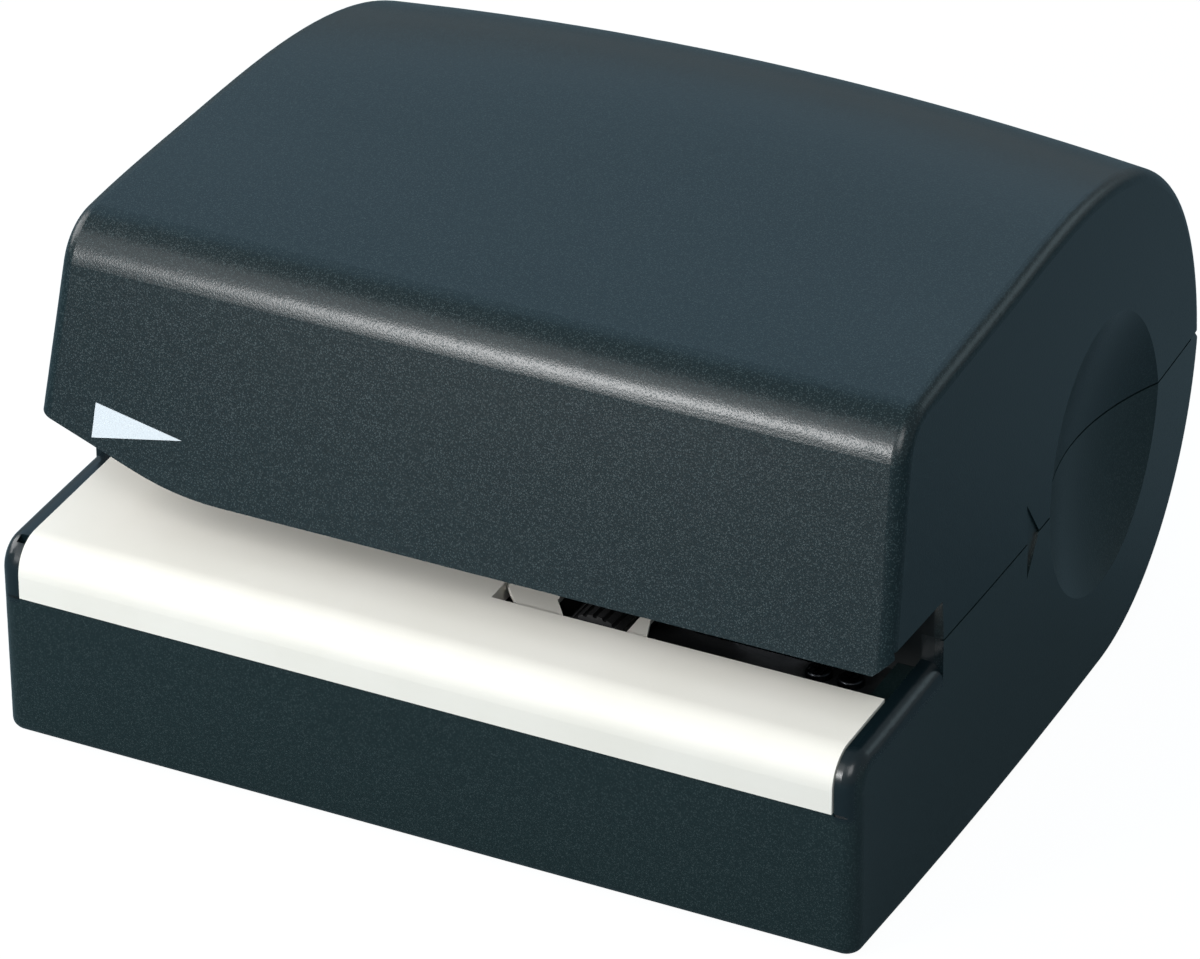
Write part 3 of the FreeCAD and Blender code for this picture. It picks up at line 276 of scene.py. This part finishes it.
def blade_steel():
    """Ground and polished blade steel."""
    f = new_finish("blade_steel", (0.7, 0.7, 0.71))
    lines = f.noise(2.4, 2.0, 0.5, (1.0, 0.2, 1.0))
    colour = f.mix(f.ease(lines, 0.3, 0.7), (0.68, 0.69, 0.70), (0.60, 0.61, 0.62))
    return f.shade(colour=colour, rough=f.ease(lines, 0.25, 0.75, 0.16, 0.26), metal=1.0,
                   normal=f.bump(lines, 0.004))


def blackened_steel():
    """Chemically blacked steel with a thin oil film, worn paler in streaks; on the lower cutting disc its
    darkness is painted shade.
    """
    f = new_finish("blackened_steel", (0.05, 0.05, 0.055))
    lines = f.noise(1.2, 3.0, 0.6, (1.0, 0.3, 1.0))
    worn = f.ease(f.noise(0.3, 4.0), 0.55, 0.75)
    colour = f.mix(worn * 0.5, (0.030, 0.032, 0.036), (0.14, 0.14, 0.15))
    return f.shade(colour=colour, rough=f.ease(lines, 0.25, 0.75, 0.22, 0.36), metal=1.0,
                   normal=f.bump(lines, 0.006))


def turned_brass():
    """Free cutting brass with turning marks."""
    f = new_finish("turned_brass", (0.72, 0.55, 0.25))
    lines = f.noise(2.0, 2.0, 0.5, (0.3, 3.0, 0.3))
    colour = f.mix(f.ease(lines, 0.3, 0.7), (0.66, 0.49, 0.22), (0.56, 0.40, 0.17))
    return f.shade(colour=colour, rough=f.ease(lines, 0.2, 0.8, 0.22, 0.36), metal=1.0,
                   normal=f.bump(lines, 0.01))


def cell_sleeve():
    """Plain grey sleeve of a dry cell with a copper coloured shoulder and bare metal ends."""
    f = new_finish("cell_sleeve", (0.12, 0.13, 0.14))
    from_middle = abs(f.axes()[0] - CELLS_MIDDLE_X)
    fine = f.noise(1.5, 2.0)
    band = f.ease(from_middle, SHOULDER_REACH, SHOULDER_REACH + 0.4)
    end = f.ease(from_middle, SLEEVE_REACH, SLEEVE_REACH + 0.3)
    colour = f.mix(band, (0.06, 0.065, 0.07), (0.45, 0.25, 0.12))
    colour = f.mix(end, colour, (0.6, 0.6, 0.6))
    return f.shade(colour=colour, rough=f.ease(fine, 0.2, 0.8, 0.25, 0.34), metal=band * 0.7,
                   normal=f.bump(fine, 0.006))


FINISH_OF = {
    "charcoal_plastic": grained_case_plastic(),
    "cream_plastic": cream_plastic(),
    "white_print": printed_white(),
    "steel": zinc_steel(),
    "blade_steel": blade_steel(),
    "brass": turned_brass(),
    "white_nylon": white_nylon(),
    "black_nylon": black_nylon(),
    "rubber": ribbed_rubber(),
    "cell_jacket": cell_sleeve(),
}
BLACKENED = blackened_steel()
OWN_FINISH = {
    "top_cover": grained_cover_plastic(),
    # the guard screws and the lower cutting disc take the dark blackened finish; on the disc this is painted
    # shade, keeping it as dark as the shade in the mouth
    "guard_screws": BLACKENED,
    "lower_cutting_disc": BLACKENED,
}


def dress():
    """Give every node its own finish, or else the one of its stuff."""
    for part in frame["record"]["subparts"]:
        piece = frame["nodes"][part["node"]]
        finish = OWN_FINISH.get(part["node"]) or FINISH_OF[part["material_slot"]]
        for slot in piece.material_slots:
            slot.material = finish
        if not piece.material_slots:
            piece.data.materials.append(finish)


# ------------------------------------------------------------------ camera, floor and light

def camera():
    """Long lens at the height of a person looking down on a desk."""
    stand = Vector((0.496196, -0.970688, 0.645497))
    forward = Vector((-0.39575, 0.77778, -0.48829)).normalized()
    turned = math.radians(26.968)
    right = Vector((math.cos(turned), math.sin(turned), 0.0))
    data = bpy.data.cameras.new("desk_view")
    data.sensor_width = 36.0
    data.lens = 218.24
    data.shift_x = -0.0326
    data.shift_y = -0.0136
    data.clip_end = 20.0
    view = bpy.data.objects.new("desk_view", data)
    bpy.context.scene.collection.objects.link(view)
    turn = Matrix((right, right.cross(forward), -forward)).transposed()
    view.matrix_world = Matrix.Translation(stand) @ turn.to_4x4()
    bpy.context.scene.camera = view


def pale_floor():
    """Level floor that looks white to the camera and still takes the object's shadow."""
    white_share = 0.72
    half = 4.0
    corners = [(-half, -half, 0), (half, -half, 0), (half, half, 0), (-half, half, 0)]
    mesh = bpy.data.meshes.new("floor")
    mesh.from_pydata(corners, [], [(0, 1, 2, 3)])
    floor = bpy.data.objects.new("floor", mesh)
    bpy.context.scene.collection.objects.link(floor)
    f = new_finish("pale_floor", (0.85, 0.85, 0.85))
    soft = f.node("ShaderNodeBsdfDiffuse", {}, {"Color": (0.17, 0.235, 0.27, 1.0)}).get(0)
    white = f.node("ShaderNodeEmission", {}, {"Color": (1, 1, 1, 1), "Strength": 1.34}).get(0)
    seen = f.node("ShaderNodeLightPath").get("Is Camera Ray")
    both = f.node("ShaderNodeMixShader", {}, {0: seen * white_share, 1: soft, 2: white}).get(0)
    f.node("ShaderNodeOutputMaterial", {}, {0: both})
    mesh.materials.append(f.owner)


def pale_room():
    """Even, slightly blue room light; the camera itself sees plain white."""
    world = bpy.data.worlds.new("pale_room")
    bpy.context.scene.world = world
    f = Finish(world)
    room = f.node("ShaderNodeBackground", {}, {0: (0.80, 0.93, 1.0, 1.0), 1: 0.33}).get(0)
    white = f.node("ShaderNodeBackground", {}, {0: (1.0, 1.0, 1.0, 1.0), 1: 1.0}).get(0)
    seen = f.node("ShaderNodeLightPath").get("Is Camera Ray")
    both = f.node("ShaderNodeMixShader", {}, {0: seen, 1: room, 2: white}).get(0)
    f.node("ShaderNodeOutputWorld", {}, {0: both})


def softbox(name, way, centre, distance, size, level, tint=(1.0, 1.0, 1.0)):
    """Flat lamp that far from centre along way, facing it; level is how bright its face looks."""
    data = bpy.data.lights.new(name, "AREA")
    data.shape = "RECTANGLE"
    data.size, data.size_y = size
    data.energy = level * math.pi * size[0] * size[1]
    data.color = tint
    lamp = bpy.data.objects.new(name, data)
    bpy.context.scene.collection.objects.link(lamp)
    out = Vector(way).normalized()
    place = Vector(centre) + out * distance
    lamp.matrix_world = Matrix.Translation(place) @ out.to_track_quat("Z", "Y").to_matrix().to_4x4()


dress()
camera()
pale_floor()
pale_room()

MIDDLE = (0.0, 0.0, 0.05)
CROWN = (0.0, 0.0, 0.1)
FRONT_EDGE = (0.03, -0.05, 0.085)
softbox("key_softbox", (-0.39, -0.865, 0.305), FRONT_EDGE, 0.58, (0.17, 0.15), 24.0)
softbox("high_softbox", (-0.40, -0.66, 0.64), CROWN, 1.1, (0.8, 0.5), 1.3)
softbox("rear_softbox", (-0.40, 0.64, 0.65), CROWN, 1.5, (1.6, 1.2), 0.44, (0.39, 0.70, 1.0))
softbox("left_softbox", (-0.86, -0.06, 0.50), MIDDLE, 1.2, (0.8, 0.7), 4.6)
softbox("right_softbox", (0.35, -0.62, 0.66), MIDDLE, 1.3, (0.7, 0.6), 3.9)
softbox("rim_softbox", (0.48, 0.78, 0.40), MIDDLE, 1.6, (0.8, 0.5), 0.9, (0.70, 0.92, 1.0))

bpy.context.scene.view_settings.view_transform = "Standard"
bpy.context.view_layer.update()
